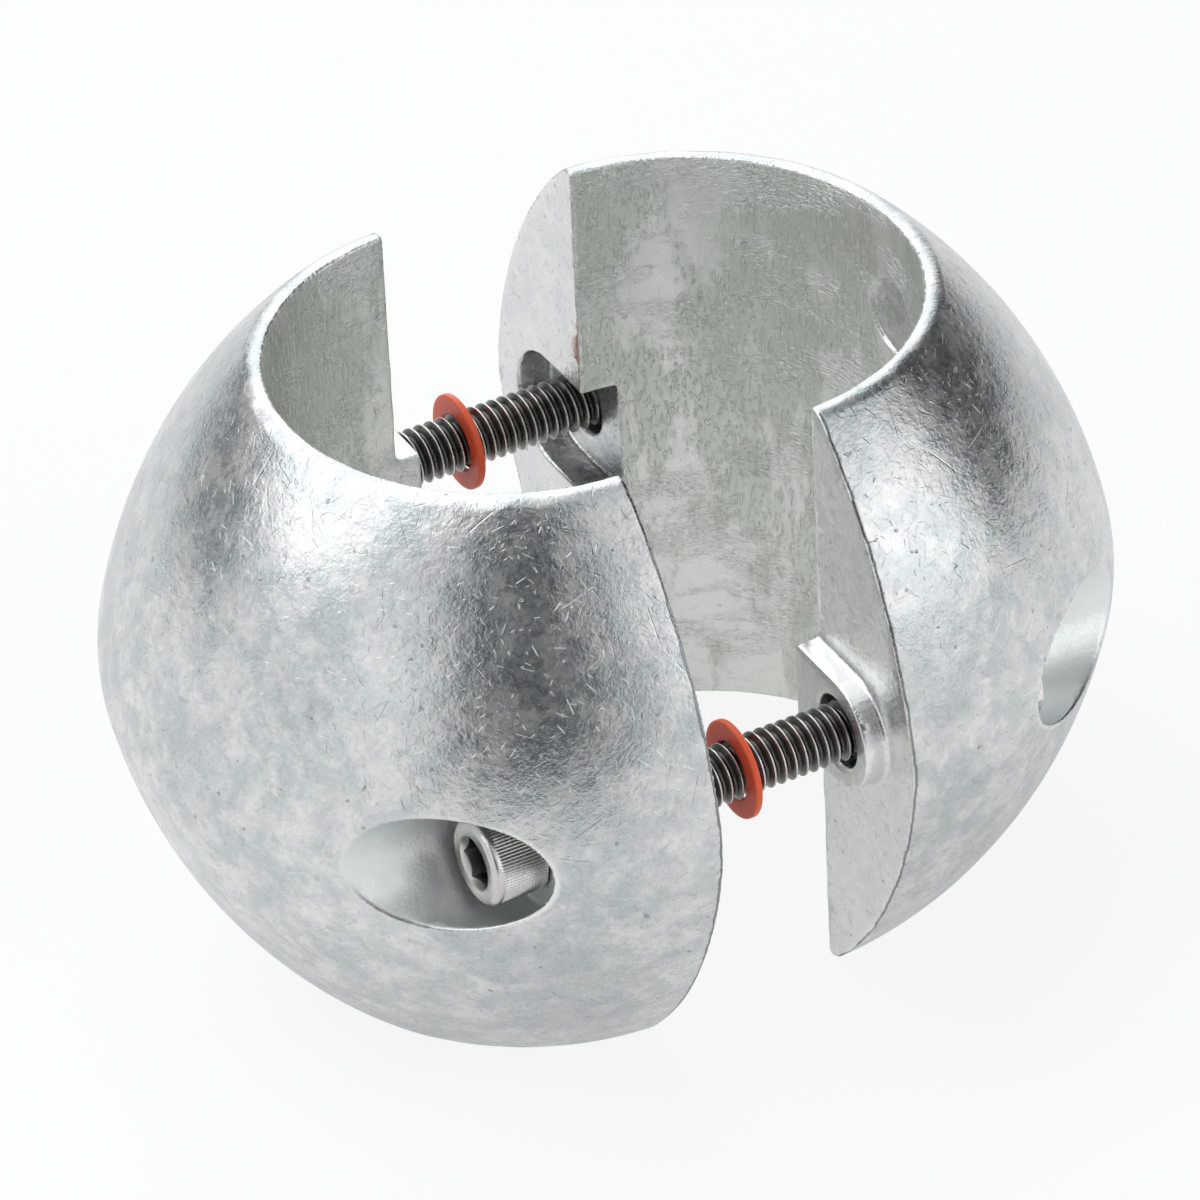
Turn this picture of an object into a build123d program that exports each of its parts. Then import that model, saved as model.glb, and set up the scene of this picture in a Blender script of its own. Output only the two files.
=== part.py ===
from build123d import *
import math
import os

# Split ball anode for a propeller shaft: two like zinc castings, opened on two cap screws.
# Millimetres. Z runs along the shaft, X along the screws, and the origin is the middle of the floor
# that both castings stand on. The casting on -X holds the screw heads, the one on +X the nuts.

# Casting
shaft_diameter = 50.8       # the bore closes on a two inch shaft
body_length = 70.0          # end face to end face
rim_wall = 1.6              # wall left at each end face
crest_diameter = 90.0       # where the two outer arcs would meet, half way up
flank_bulge = 3.4           # how far each outer arc stands off its chord
crest_round = 20.0          # radius that blends the two arcs
rim_round = 0.5             # outer edge of each end face
split_gap = 2.3             # left between the split faces when the bores line up
opening = 20.0              # distance between the two bore axes as laid open

# Screw line, the same in both castings
screw_line_inset = 1.7      # from the middle of the wall at mid height, towards the bore
screw_hole_diameter = 8.0
pocket_diameter = 13.7
pocket_lip = 2.2            # least depth of a pocket, on its side away from the bore
nut_seat_depth = 3.1        # hexagonal seat sunk in the pocket floors of the nut half
nut_seat_play = 0.2         # across the flats, over the nut

# Boss on one side of a split face, and the recess that takes the other casting's boss
boss_width = 12.6
boss_height = 2.8
boss_foot_round = 0.7
boss_edge_round = 0.3
recess_play = 0.4           # all round the boss
recess_extra_depth = 1.5    # below a boss's face, room for a washer

# Quarter inch socket cap screw
thread_diameter = 6.35
thread_past_nut = 6.55      # beyond the nut when the collar is closed
tip_chamfer = 0.9
head_diameter = 9.525
head_height = 6.35
head_edge_round = 0.4
socket_flats = 4.76
socket_depth = 3.0
socket_chamfer = 0.25

# Hexagon nut
nut_flats = 11.11
nut_thickness = 5.56
nut_chamfer = 0.45
nut_play = 0.05             # bore over the thread, on the radius

# Red plastic washer that keeps a screw in its hole
washer_diameter = 10.8
washer_thickness = 1.0
washer_play = 0.05          # on the radius
washer_edge_round = 0.3
front_washer_gap = 7.0      # split face of the screw half to the washer
rear_washer_gap = 11.0

bore_radius = shaft_diameter / 2
mid_height = body_length / 2
end_radius = bore_radius + rim_wall
crest_radius = crest_diameter / 2
half_gap = split_gap / 2
screw_y = (bore_radius + crest_radius) / 2 - screw_line_inset
boss_radius = boss_width / 2
recess_depth = boss_height + recess_extra_depth
split_face_x = opening / 2 + half_gap

# Pocket floors and nut seats are measured from a split face, the screws under their heads
pocket_far_side = screw_y + pocket_diameter / 2
pocket_floor = math.sqrt(crest_radius ** 2 - pocket_far_side ** 2) - pocket_lip - half_gap
nut_seat_floor = pocket_floor - nut_seat_depth
screw_length = pocket_floor + split_gap + nut_seat_floor + nut_thickness + thread_past_nut

reach = 2 * crest_radius    # longer than any cut needs
overcut = 1.0               # a cut or a boss runs this far past the face it meets
tiny = 1e-4


def ring_section():
    """Section of the closed collar: straight bore, thin rims, two arcs blended at the crest."""
    foot = (end_radius, 0)
    crest = (crest_radius, mid_height)
    top = (end_radius, body_length)
    outline = Wire([
        Line((bore_radius, 0), foot),
        SagittaArc(foot, crest, -flank_bulge),
        SagittaArc(crest, top, -flank_bulge),
        Line(top, (bore_radius, body_length)),
        Line((bore_radius, body_length), (bore_radius, 0)),
    ])
    flat = make_face(outline)
    flat = fillet(flat.vertices().sort_by(Axis.X)[-1], crest_round)
    flat = fillet([v for v in flat.vertices() if abs(v.X - end_radius) < tiny], rim_round)
    return Plane.XZ * flat


def screw_plane(side, x):
    """Drawing plane square to a screw line, its first axis pointing away from the bore."""
    return Plane(origin=(x, side * screw_y, mid_height), x_dir=(0, side, 0), z_dir=(1, 0, 0))


def bored_out(outline, side, start, length=reach):
    """Solid to cut along a screw line, from start towards the outside."""
    return extrude(screw_plane(side, start) * outline, amount=length)


def boss_outline(radius):
    """D shape: round nose outwards, level sides running in past the bore wall."""
    return Circle(radius) + Pos(-radius, 0) * Rectangle(2 * radius, 2 * radius)


def add_boss(body):
    """Boss on the -Y side, standing off the split face towards -X, with a rounded foot and edge."""
    boss = bored_out(boss_outline(boss_radius), -1, half_gap - boss_height, boss_height + overcut)
    face_edges = boss.faces().sort_by(Axis.X)[0].edges()
    boss = fillet([e for e in face_edges if e.center().Y < -bore_radius], boss_edge_round)
    body = body + boss
    on_split_face = body.edges().filter_by_position(Axis.X, half_gap - tiny, half_gap + tiny)
    beside_boss = on_split_face.filter_by_position(Axis.Z, mid_height - boss_radius - tiny,
                                                   mid_height + boss_radius + tiny)
    foot = beside_boss.filter_by_position(Axis.Y, -screw_y - boss_radius - tiny, -bore_radius)
    return fillet(foot, boss_foot_round)


def casting(holds_nuts):
    """One half with its bore on the Z axis and its body on +X: boss on -Y, recess on +Y."""
    body = revolve(ring_section(), Axis.Z, 360)
    body &= Pos(half_gap + reach / 2, 0, mid_height) * Box(reach, 2 * reach, 2 * reach)
    body = add_boss(body)
    body -= Pos(0, 0, mid_height) * Cylinder(bore_radius, 2 * reach)
    recess = boss_outline(boss_radius + recess_play)
    body -= bored_out(recess, 1, half_gap - overcut, recess_depth + overcut)
    seat = RegularPolygon((nut_flats + nut_seat_play) / 2, 6, major_radius=False, rotation=30)
    for side in (-1, 1):
        body -= bored_out(Circle(screw_hole_diameter / 2), side, half_gap - boss_height - overcut)
        body -= bored_out(Circle(pocket_diameter / 2), side, half_gap + pocket_floor)
        if holds_nuts:
            body -= bored_out(seat, side, half_gap + nut_seat_floor, nut_seat_depth + overcut)
    return body


def cap_screw(side):
    """Socket cap screw with its head on -X, seated on a pocket floor of the screw half."""
    head = Cylinder(head_diameter / 2, head_height, align=(Align.CENTER, Align.CENTER, Align.MAX))
    head = fillet(head.edges().sort_by(Axis.Z)[0], head_edge_round)
    shank = Cylinder(thread_diameter / 2, screw_length, align=(Align.CENTER, Align.CENTER, Align.MIN))
    shank = chamfer(shank.edges().sort_by(Axis.Z)[-1], tip_chamfer)
    socket = Plane.XY.offset(-head_height) * RegularPolygon(socket_flats / 2, 6, major_radius=False)
    mouth_radius = socket_flats / math.sqrt(3) + socket_chamfer
    mouth = Pos(0, 0, -head_height) * Cone(mouth_radius, 0, mouth_radius,
                                           align=(Align.CENTER, Align.CENTER, Align.MIN))
    screw = head + shank - extrude(socket, amount=socket_depth) - mouth
    return Pos(-split_face_x - pocket_floor, side * screw_y, mid_height) * Rot(0, 90, 0) * screw


def retaining_washer(side, gap):
    """Thin plastic washer on the thread, a gap away from the screw half's split face."""
    disc = Cylinder(washer_diameter / 2, washer_thickness, align=(Align.CENTER, Align.CENTER, Align.MIN))
    disc -= Cylinder(thread_diameter / 2 + washer_play, 3 * washer_thickness)
    circles = disc.edges().filter_by(GeomType.CIRCLE)
    rims = [e for e in circles if abs(e.radius - washer_diameter / 2) < tiny]
    disc = fillet(rims, washer_edge_round)
    return Pos(-split_face_x + gap, side * screw_y, mid_height) * Rot(0, 90, 0) * disc


def hex_nut(side):
    """Plain nut in its seat in the nut half, two flats facing the bore and the outside."""
    across_corners = 2 * nut_flats / math.sqrt(3)
    blank = Cylinder(across_corners / 2, nut_thickness, align=(Align.CENTER, Align.CENTER, Align.MIN))
    blank = chamfer(blank.edges().filter_by(GeomType.CIRCLE), nut_chamfer)
    nut = blank & extrude(RegularPolygon(nut_flats / 2, 6, major_radius=False), amount=nut_thickness)
    nut -= Cylinder(thread_diameter / 2 + nut_play, 3 * nut_thickness)
    return Pos(split_face_x + nut_seat_floor, side * screw_y, mid_height) * Rot(0, 90, 0) * nut


parts = {
    "screw_half_casting": Pos(-opening / 2, 0, 0) * Rot(0, 0, 180) * casting(holds_nuts=False),
    "nut_half_casting": Pos(opening / 2, 0, 0) * casting(holds_nuts=True),
}
for name, side, gap in (("front", -1, front_washer_gap), ("rear", 1, rear_washer_gap)):
    parts[name + "_cap_screw"] = cap_screw(side)
    parts[name + "_retaining_washer"] = retaining_washer(side, gap)
    parts[name + "_hex_nut"] = hex_nut(side)

os.makedirs("parts", exist_ok=True)
for name, shape in parts.items():
    export_step(shape, "parts/" + name + ".step")
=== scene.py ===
import math

import bmesh
import bpy
import numpy as np
from mathutils import Matrix, Vector


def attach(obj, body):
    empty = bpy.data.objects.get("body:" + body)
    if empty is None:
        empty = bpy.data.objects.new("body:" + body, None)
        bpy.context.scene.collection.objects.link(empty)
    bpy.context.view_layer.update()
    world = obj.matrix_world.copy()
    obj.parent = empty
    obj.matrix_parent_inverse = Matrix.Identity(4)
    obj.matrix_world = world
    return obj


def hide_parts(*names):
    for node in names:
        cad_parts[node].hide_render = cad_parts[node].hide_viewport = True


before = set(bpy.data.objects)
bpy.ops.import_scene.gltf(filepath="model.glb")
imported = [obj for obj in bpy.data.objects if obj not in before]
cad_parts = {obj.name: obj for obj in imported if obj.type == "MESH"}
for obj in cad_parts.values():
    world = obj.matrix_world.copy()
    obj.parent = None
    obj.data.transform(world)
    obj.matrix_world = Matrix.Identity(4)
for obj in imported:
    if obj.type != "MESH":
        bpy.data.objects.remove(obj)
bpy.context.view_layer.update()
mm = 0.001

# Camera
# The anode is seen from its front left and from above, through a long lens,
# as it stands in the photograph. Angles in degrees, lengths in millimetres.
camera_azimuth = -27.4
camera_elevation = 35.64
camera_roll = -2.74
camera_distance = 1079.4
aim_height = 35.0
lens_pixels = 10260.8          # focal length in pixels of a 1200 pixel frame
frame_pixels = 1200
centre_right, centre_up = 7.17, 3.52

turn, tilt, roll = (math.radians(v) for v in (camera_azimuth, camera_elevation, camera_roll))
away = Vector((math.sin(turn) * math.cos(tilt), -math.cos(turn) * math.cos(tilt), math.sin(tilt)))
level_right = Vector((math.cos(turn), math.sin(turn), 0))
level_up = away.cross(level_right)
camera_right = math.cos(roll) * level_right + math.sin(roll) * level_up
camera_up = away.cross(camera_right)
camera_place = Matrix((camera_right, camera_up, away)).transposed().to_4x4()
camera_place.translation = Vector((0, 0, aim_height * mm)) + away * camera_distance * mm

camera_data = bpy.data.cameras.new("camera")
camera_data.sensor_width = 36
camera_data.lens = lens_pixels * camera_data.sensor_width / frame_pixels
camera_data.shift_x = -centre_right / frame_pixels
camera_data.shift_y = -centre_up / frame_pixels
camera_data.clip_start, camera_data.clip_end = 0.05, 20
camera = bpy.data.objects.new("camera", camera_data)
camera.matrix_world = camera_place
bpy.context.scene.collection.objects.link(camera)
bpy.context.scene.camera = camera
bpy.context.scene.view_settings.view_transform = "Standard"


# Studio
# A white paper sweep under a big overhead softbox, with a weak one low at the left and a wide
# one low at the right. The paper shows plain white and keeps a soft shadow.
def node(tree, kind, place=(0, 0), **settings):
    """New shader node with its settings; a key that isn't a property sets an input."""
    made = tree.nodes.new(kind)
    made.location = place
    for key, value in settings.items():
        if hasattr(made, key):
            setattr(made, key, value)
        else:
            made.inputs[key.replace("_", " ")].default_value = value
    return made


def wire(tree, source, target):
    """Link from a node's socket to another's; a bare node means its first socket."""
    start = source.outputs[0] if isinstance(source, bpy.types.Node) else source
    end = target.inputs[0] if isinstance(target, bpy.types.Node) else target
    tree.links.new(start, end)


def bare_material(name):
    """Material with an empty node tree and its output node."""
    made = bpy.data.materials.new(name)
    made.use_nodes = True
    made.node_tree.nodes.clear()
    return made, made.node_tree, node(made.node_tree, "ShaderNodeOutputMaterial", (900, 0))


def softbox(name, place, aim, width, height, watts):
    """Rectangular area lamp, in metres, turned towards its aim."""
    data = bpy.data.lights.new(name, "AREA")
    data.shape = "RECTANGLE"
    data.size, data.size_y = width, height
    data.energy = watts
    lamp = bpy.data.objects.new(name, data)
    lamp.location = place
    lamp.rotation_mode = "QUATERNION"
    lamp.rotation_quaternion = (Vector(aim) - Vector(place)).to_track_quat("-Z", "Y")
    bpy.context.scene.collection.objects.link(lamp)


softbox("main_softbox", (-0.42, 0.36, 0.86), (0, 0, 0.03), 1.20, 1.20, 5.3)
softbox("left_softbox", (-1.05, -0.55, 0.40), (0, 0, 0.03), 0.7, 0.6, 0.4)
softbox("right_softbox", (0.90, -0.95, 0.50), (0, 0, 0.03), 1.10, 0.90, 2.3)

paper, paper_tree, paper_out = bare_material("white_paper")
paper_white = node(paper_tree, "ShaderNodeBsdfDiffuse", (200, 100), Color=(0.90, 0.90, 0.90, 1))
paper_glow = node(paper_tree, "ShaderNodeEmission", (200, -100), Color=(1, 1, 1, 1), Strength=1.0)
paper_rays = node(paper_tree, "ShaderNodeLightPath", (-200, 300))
seen = node(paper_tree, "ShaderNodeMath", (0, 300), operation="MAXIMUM")
paper_mix = node(paper_tree, "ShaderNodeMixShader", (500, 0))
for row, (ray, amount) in enumerate((("Is Camera Ray", 0.86), ("Is Glossy Ray", 0.45))):
    share = node(paper_tree, "ShaderNodeMath", (-100, 300 - 200 * row), operation="MULTIPLY")
    share.inputs[1].default_value = amount
    wire(paper_tree, paper_rays.outputs[ray], share)
    wire(paper_tree, share, seen.inputs[row])
wire(paper_tree, seen, paper_mix.inputs[0])
wire(paper_tree, paper_white, paper_mix.inputs[1])
wire(paper_tree, paper_glow, paper_mix.inputs[2])
wire(paper_tree, paper_mix, paper_out)

floor_mesh = bpy.data.meshes.new("floor")
floor_half = 3.0
floor_corners = ((-1, -1), (1, -1), (1, 1), (-1, 1))
floor_mesh.from_pydata([(x * floor_half, y * floor_half, 0) for x, y in floor_corners],
                       [], [(0, 1, 2, 3)])
floor_mesh.materials.append(paper)
floor = bpy.data.objects.new("floor", floor_mesh)
bpy.context.scene.collection.objects.link(floor)

world = bpy.data.worlds.new("studio_world")
bpy.context.scene.world = world
world.use_nodes = True
sky = world.node_tree
sky.nodes.clear()
sky_out = node(sky, "ShaderNodeOutputWorld", (900, 0))
sky_rays = node(sky, "ShaderNodeLightPath", (-200, 300))
sky_seen = node(sky, "ShaderNodeMath", (0, 300), operation="MAXIMUM")
sky_white = node(sky, "ShaderNodeBackground", (400, -100), Color=(1, 1, 1, 1), Strength=1.0)
sky_soft = node(sky, "ShaderNodeBackground", (400, 100), Color=(0.955, 0.985, 1.0, 1))
sky_way = node(sky, "ShaderNodeTexCoord", (-900, 0))
sky_parts = node(sky, "ShaderNodeSeparateXYZ", (-700, 200))
sky_level = node(sky, "ShaderNodeVectorMath", (-700, 0), operation="MULTIPLY")
sky_level.inputs[1].default_value = (1, 1, 0)
wire(sky, sky_way.outputs["Generated"], sky_parts)
wire(sky, sky_way.outputs["Generated"], sky_level)
sky_compass = node(sky, "ShaderNodeVectorMath", (-500, 0), operation="NORMALIZE")
wire(sky, sky_level, sky_compass)
sky_strength = node(sky, "ShaderNodeMapRange", (-300, 200), interpolation_type="SMOOTHSTEP",
                    From_Min=0.75, From_Max=1.0, To_Min=0.79, To_Max=0.62)
wire(sky, sky_parts.outputs["Z"], sky_strength)
# The studio's walls: dark behind the camera, at the right and at the back left, with a lit
# panel between the last two. Azimuth of the middle, half width and soft edge in degrees,
# change of strength, and the height of the sky, as a sine, over which the change fades out.
for row, (azimuth, half_width, soft, change, fade_from, fade_to) in enumerate((
        (-116, 13, 19, -0.76, 0.85, 1.0), (12, 26, 22, -0.80, 0.70, 1.0),
        (113, 20, 20, -0.62, 0.30, 0.65), (62, 8, 24, 1.1, 0.70, 1.0))):
    turned = node(sky, "ShaderNodeVectorMath", (-300, -200 * row), operation="DOT_PRODUCT")
    bearing = math.radians(azimuth)
    turned.inputs[1].default_value = (math.cos(bearing), math.sin(bearing), 0)
    wire(sky, sky_compass, turned)
    wall = node(sky, "ShaderNodeMapRange", (-100, -200 * row), interpolation_type="SMOOTHSTEP",
                From_Min=math.cos(math.radians(half_width + soft)),
                From_Max=math.cos(math.radians(half_width)), To_Min=0.0, To_Max=change)
    wire(sky, turned.outputs["Value"], wall.inputs["Value"])
    height = node(sky, "ShaderNodeMapRange", (-100, -100 - 200 * row), From_Min=fade_from,
                  From_Max=fade_to, To_Min=1.0, To_Max=0.0, interpolation_type="SMOOTHSTEP")
    wire(sky, sky_parts.outputs["Z"], height.inputs["Value"])
    part = node(sky, "ShaderNodeMath", (100, -200 * row), operation="MULTIPLY")
    wire(sky, wall, part.inputs[0])
    wire(sky, height, part.inputs[1])
    total = node(sky, "ShaderNodeMath", (250, -200 * row), operation="ADD")
    wire(sky, sky_strength, total.inputs[0])
    wire(sky, part, total.inputs[1])
    sky_strength = total
wire(sky, sky_strength, sky_soft.inputs["Strength"])
sky_mix = node(sky, "ShaderNodeMixShader", (650, 0))
wire(sky, sky_rays.outputs["Is Camera Ray"], sky_seen.inputs[0])
wire(sky, sky_rays.outputs["Is Transmission Ray"], sky_seen.inputs[1])
wire(sky, sky_seen, sky_mix.inputs[0])
wire(sky, sky_soft, sky_mix.inputs[1])
wire(sky, sky_white, sky_mix.inputs[2])
wire(sky, sky_mix, sky_out)


# Zinc castings
# Two like halves of a ball, gravity cast in zinc in a steel mould: a straight bore for the
# shaft, two pockets for the screws, and on each split face a boss and a recess that key
# into the other half. Edges come out of the mould softly rounded and a little uneven.
# The sizes are those of the CAD, in millimetres, with the bore on Z and the body on +X.
bore_radius = 25.4
end_radius = 27.0
crest_radius = 45.0
flank_bulge = 3.4
crest_round = 20.0
mid_height = 35.0
split_x = 1.15
bore_shift = 10.0
screw_y = 33.5
hole_radius = 4.0
pocket_radius = 6.85
pocket_floor_x = split_x + 16.572      # the depth follows from the least wall left beside a pocket
seat_floor_x = pocket_floor_x - 3.1
seat_flats = 11.31
boss_radius = 6.3
boss_face_x = split_x - 2.8
recess_radius = 6.7
recess_floor_x = split_x + 4.3
stamp_height = 57.5
stamp_radius = 4.3
stamp_depth = 0.45
lip_thickness = 0.32           # of the thin edge round a pocket's mouth
skin_loss = 0.05               # most that the cast skin lies inside the true size

# Radii of the edges; the second number is how much more an edge is rounded where it is worst
end_edge, end_edge_more = 0.40, 0.35
bore_edge, bore_edge_more = 0.15, 0.20
split_edge, split_edge_more = 0.12, 0.25
recess_edge, recess_edge_more = 0.35, 0.20
boss_edge, boss_bore_edge, boss_foot = 0.18, 0.3, 0.65
boss_root = 4.0                # how far the boss reaches into the body
recess_floor_edge = 0.5
hole_edge = 0.6
pocket_floor_edge, pocket_mouth_edge, lip_edge = 0.6, 0.2, 0.12
seat_edge = 0.15
stamp_edge = 0.1
net_low, net_high = (boss_face_x - 1.2, -46.0, -1.2), (46.0, 46.0, 71.2)
net_cell, quick_net_cell = 0.31, 0.8


def round_outer(a, b, radius):
    """Distance to what is inside both a and b, with their shared edge rounded."""
    corner = np.hypot(np.maximum(a + radius, 0), np.maximum(b + radius, 0))
    return np.minimum(np.maximum(a, b), -radius) + corner


def round_inner(a, b, radius):
    """Distance to what is inside a or b, with the corner between them filled."""
    return -round_outer(-a, -b, radius)


def ripple(points, length, seed, count=14):
    """Smooth random waves over the points, between about -1 and 1."""
    draw = np.random.default_rng(seed)
    directions = draw.normal(size=(count, 3))
    directions /= np.linalg.norm(directions, axis=1)[:, None]
    rates = 2 * math.pi / (length * draw.uniform(0.7, 1.5, count))
    phases = draw.uniform(0, 2 * math.pi, count)
    return np.sin(points @ (directions * rates[:, None]).T + phases).sum(1) / math.sqrt(2 * count)


def outer_skin(radius, height):
    """Distance to the ball: two arcs up each flank, blended by a third at the crest."""
    half_chord = math.hypot(crest_radius - end_radius, mid_height) / 2
    arc_radius = (half_chord ** 2 + flank_bulge ** 2) / (2 * flank_bulge)
    lean = (mid_height / 2 / half_chord, (crest_radius - end_radius) / 2 / half_chord)
    arc_r = (crest_radius + end_radius) / 2 - (arc_radius - flank_bulge) * lean[0]
    arc_h = mid_height / 2 - (arc_radius - flank_bulge) * lean[1]
    blend_r = arc_r + math.sqrt((arc_radius - crest_round) ** 2 - arc_h ** 2)
    rise = np.abs(height)
    flank = np.hypot(radius - arc_r, rise - arc_h) - arc_radius
    crest = np.hypot(radius - blend_r, rise) - crest_round
    return np.where(rise * (blend_r - arc_r) < -arc_h * (radius - blend_r), crest, flank)


def cast_skin(points, seed, with_seats, with_stamp):
    """Distance in millimetres from the points to a casting's surface, negative inside the metal."""
    x, y, height = points[:, 0], points[:, 1], points[:, 2] - mid_height
    radius = np.hypot(x, y)
    uneven = 0.5 + 0.5 * np.clip(ripple(points, 5.0, seed), -1, 1)
    metal = round_outer(outer_skin(radius, height), np.abs(height) - mid_height,
                        end_edge + end_edge_more * uneven)
    metal = round_outer(metal, bore_radius - radius, bore_edge + bore_edge_more * uneven)
    metal = round_outer(metal, split_x - x, split_edge + split_edge_more * uneven)
    nose = np.hypot(np.maximum(-y - screw_y, 0), height)
    boss = round_outer(nose - boss_radius, boss_face_x - x, boss_edge)
    boss = round_outer(boss, bore_radius - radius, boss_bore_edge)
    boss = np.maximum(boss, np.maximum(x - split_x - boss_root, y))
    metal = round_inner(metal, boss, boss_foot)
    nose = np.hypot(np.maximum(y - screw_y, 0), height)
    recess = round_outer(nose - recess_radius, x - recess_floor_x, recess_floor_edge)
    metal = round_outer(metal, -np.maximum(recess, -y), recess_edge + recess_edge_more * uneven)
    for side in (-1, 1):
        from_line = np.hypot(y - side * screw_y, height)
        metal = round_outer(metal, hole_radius - from_line, hole_edge)
        pocket = round_outer(from_line - pocket_radius, pocket_floor_x - x, pocket_floor_edge)
        lip = metal - pocket + lip_thickness
        metal = round_outer(round_outer(metal, -pocket, pocket_mouth_edge), lip, lip_edge)
        if with_seats:
            hexagon = np.max([np.abs((y - side * screw_y) * math.cos(t) + height * math.sin(t))
                              for t in (0, math.pi / 3, 2 * math.pi / 3)], axis=0)
            seat = np.maximum(hexagon - seat_flats / 2, seat_floor_x - x)
            metal = round_outer(metal, -seat, seat_edge)
    if with_stamp:
        disc = np.maximum(np.hypot(y, height + mid_height - stamp_height) - stamp_radius, -x)
        stamp = round_outer(disc, radius - bore_radius - stamp_depth, stamp_edge)
        metal = round_outer(metal, -stamp, stamp_edge)
    waves = 0.6 * ripple(points, 16.0, seed + 1) + 0.3 * ripple(points, 6.0, seed + 2)
    return metal + skin_loss * (0.5 + 0.5 * np.clip(waves, -1, 1))


def slope(skin, points, step=0.02):
    """Gradient of a distance function at the points."""
    shifts = np.eye(3) * step
    return np.stack([skin(points + s) - skin(points - s) for s in shifts], axis=1) / (2 * step)


def settle(skin, points, rounds=3):
    """Points moved onto the surface along its slope."""
    for _ in range(rounds):
        rise = slope(skin, points)
        steps = skin(points) / np.maximum((rise ** 2).sum(1), 0.25)
        points = points - rise * np.clip(steps, -0.3, 0.3)[:, None]
    return points


def grid_places(counts):
    """Every place in a grid of the given counts, one row of whole numbers each."""
    return np.stack(np.meshgrid(*map(np.arange, counts), indexing="ij"), axis=-1).reshape(-1, 3)


def wrap(skin, low, high, cell, block=4):
    """Net of quads round the surface, one corner in each grid cell that the surface crosses.
    Grid points are worked out only in the blocks that lie near the surface."""
    low = np.array(low, float)
    blocks = [int(math.ceil((b - a) / (cell * block))) for a, b in zip(low, high)]
    counts = [n * block for n in blocks]
    index = grid_places(blocks)
    middle = skin(low + (index + 0.5) * cell * block)
    values = np.repeat(np.repeat(np.repeat(middle.reshape(blocks), block, 0), block, 1), block, 2)
    near = index[np.abs(middle) < 1.25 * cell * block]
    inner = grid_places([block] * 3)
    for part in np.array_split(near, 8):
        fine = (part[:, None] * block + inner[None]).reshape(-1, 3)
        values[tuple(fine.T)] = skin(low + fine * cell)
    inside = values < 0
    strides = np.array([counts[1] * counts[2], counts[2], 1])
    quads, cell_ids, crossings = [], [], []
    for axis in range(3):
        first_half, second_half = [slice(None)] * 3, [slice(None)] * 3
        first_half[axis], second_half[axis] = slice(0, -1), slice(1, None)
        index = np.argwhere(inside[tuple(first_half)] != inside[tuple(second_half)])
        step = np.eye(3, dtype=int)[axis]
        first, second = values[tuple(index.T)], values[tuple((index + step).T)]
        place = index + step * (first / (first - second))[:, None]
        u, v = np.eye(3, dtype=int)[(axis + 1) % 3], np.eye(3, dtype=int)[(axis + 2) % 3]
        around = np.stack([(index - a * u - b * v) @ strides
                           for a, b in ((0, 0), (1, 0), (1, 1), (0, 1))], axis=1)
        quads.append(np.where((first < 0)[:, None], around, around[:, ::-1]))
        cell_ids.append(around.ravel())
        crossings.append(np.repeat(place, 4, axis=0))
    ids, spot = np.unique(np.concatenate(cell_ids), return_inverse=True)
    crossings = np.concatenate(crossings)
    tally = np.bincount(spot)
    corners = np.stack([np.bincount(spot, crossings[:, k]) / tally for k in range(3)], axis=1)
    return low + corners * cell, np.searchsorted(ids, np.concatenate(quads))


def points_of(mesh):
    """Places of a mesh's points, one row each."""
    points = np.zeros(len(mesh.vertices) * 3)
    mesh.vertices.foreach_get("co", points)
    return points.reshape(-1, 3)


def worn(skin, points, reach=0.3):
    """How strongly the surface bulges outwards over the reach: 1 on an outer edge, 0 on a face."""
    normal = slope(skin, points, 0.1)
    normal /= np.linalg.norm(normal, axis=1)[:, None]
    return np.clip((skin(points - normal * reach) + reach) / (0.3 * reach), 0, 1)


def near(gap, fade=0.15, start=1.5):
    """Mask that is 1 on a face and fades out at a small gap from it, in millimetres."""
    return np.clip(start - gap / fade, 0, 1)


def cast_piece(name, skin, place, triangles=170000):
    """Mesh of a casting: a fine net round it, thinned out where the surface is even."""
    points, quads = wrap(skin, net_low, net_high, net_cell)
    mesh = bpy.data.meshes.new(name + "_net")
    mesh.from_pydata(settle(skin, points), [], quads)
    piece = bpy.data.objects.new(name, mesh)
    bpy.context.scene.collection.objects.link(piece)
    thin_out = piece.modifiers.new("thin_out", "DECIMATE")
    thin_out.ratio = min(1.0, triangles / (2 * len(quads)))
    shaped = piece.evaluated_get(bpy.context.evaluated_depsgraph_get())
    thinned = bpy.data.meshes.new_from_object(shaped)
    piece.modifiers.clear()
    thinned.name = name
    piece.data = thinned
    bpy.data.meshes.remove(mesh)
    points = settle(skin, points_of(thinned), 2)
    thinned.vertices.foreach_set("co", points.ravel())
    radius = np.hypot(points[:, 0], points[:, 1])
    from_line = np.hypot(np.abs(points[:, 1]) - screw_y, points[:, 2] - mid_height)
    outside = outer_skin(radius, points[:, 2] - mid_height)
    # Worn outer edges, with a thin painted highlight line laid round each pocket's mouth
    mouth = near(np.hypot(from_line - pocket_radius, outside), 0.2, 1.6)
    masks = {"edge_wear_and_highlight": np.maximum(worn(skin, points), mouth),
             "outer_skin": near(np.abs(outside), 0.2, 1.6),
             "bore_wall": near(np.abs(radius - bore_radius)),
             "pocket_wall": near(from_line - pocket_radius) * (points[:, 0] > seat_floor_x),
             "split_face": near(points[:, 0] - split_x),
             "boss_side": np.clip((split_x - points[:, 0] - 0.1) / 0.5, 0, 1),
             "boss_face_shade": near(points[:, 0] - boss_face_x)}
    for mask_name, values in masks.items():
        thinned.attributes.new(mask_name, "FLOAT", "POINT").data.foreach_set("value", values)
    thinned.transform(place @ Matrix.Scale(mm, 4))
    thinned.shade_smooth()
    return piece


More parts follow.
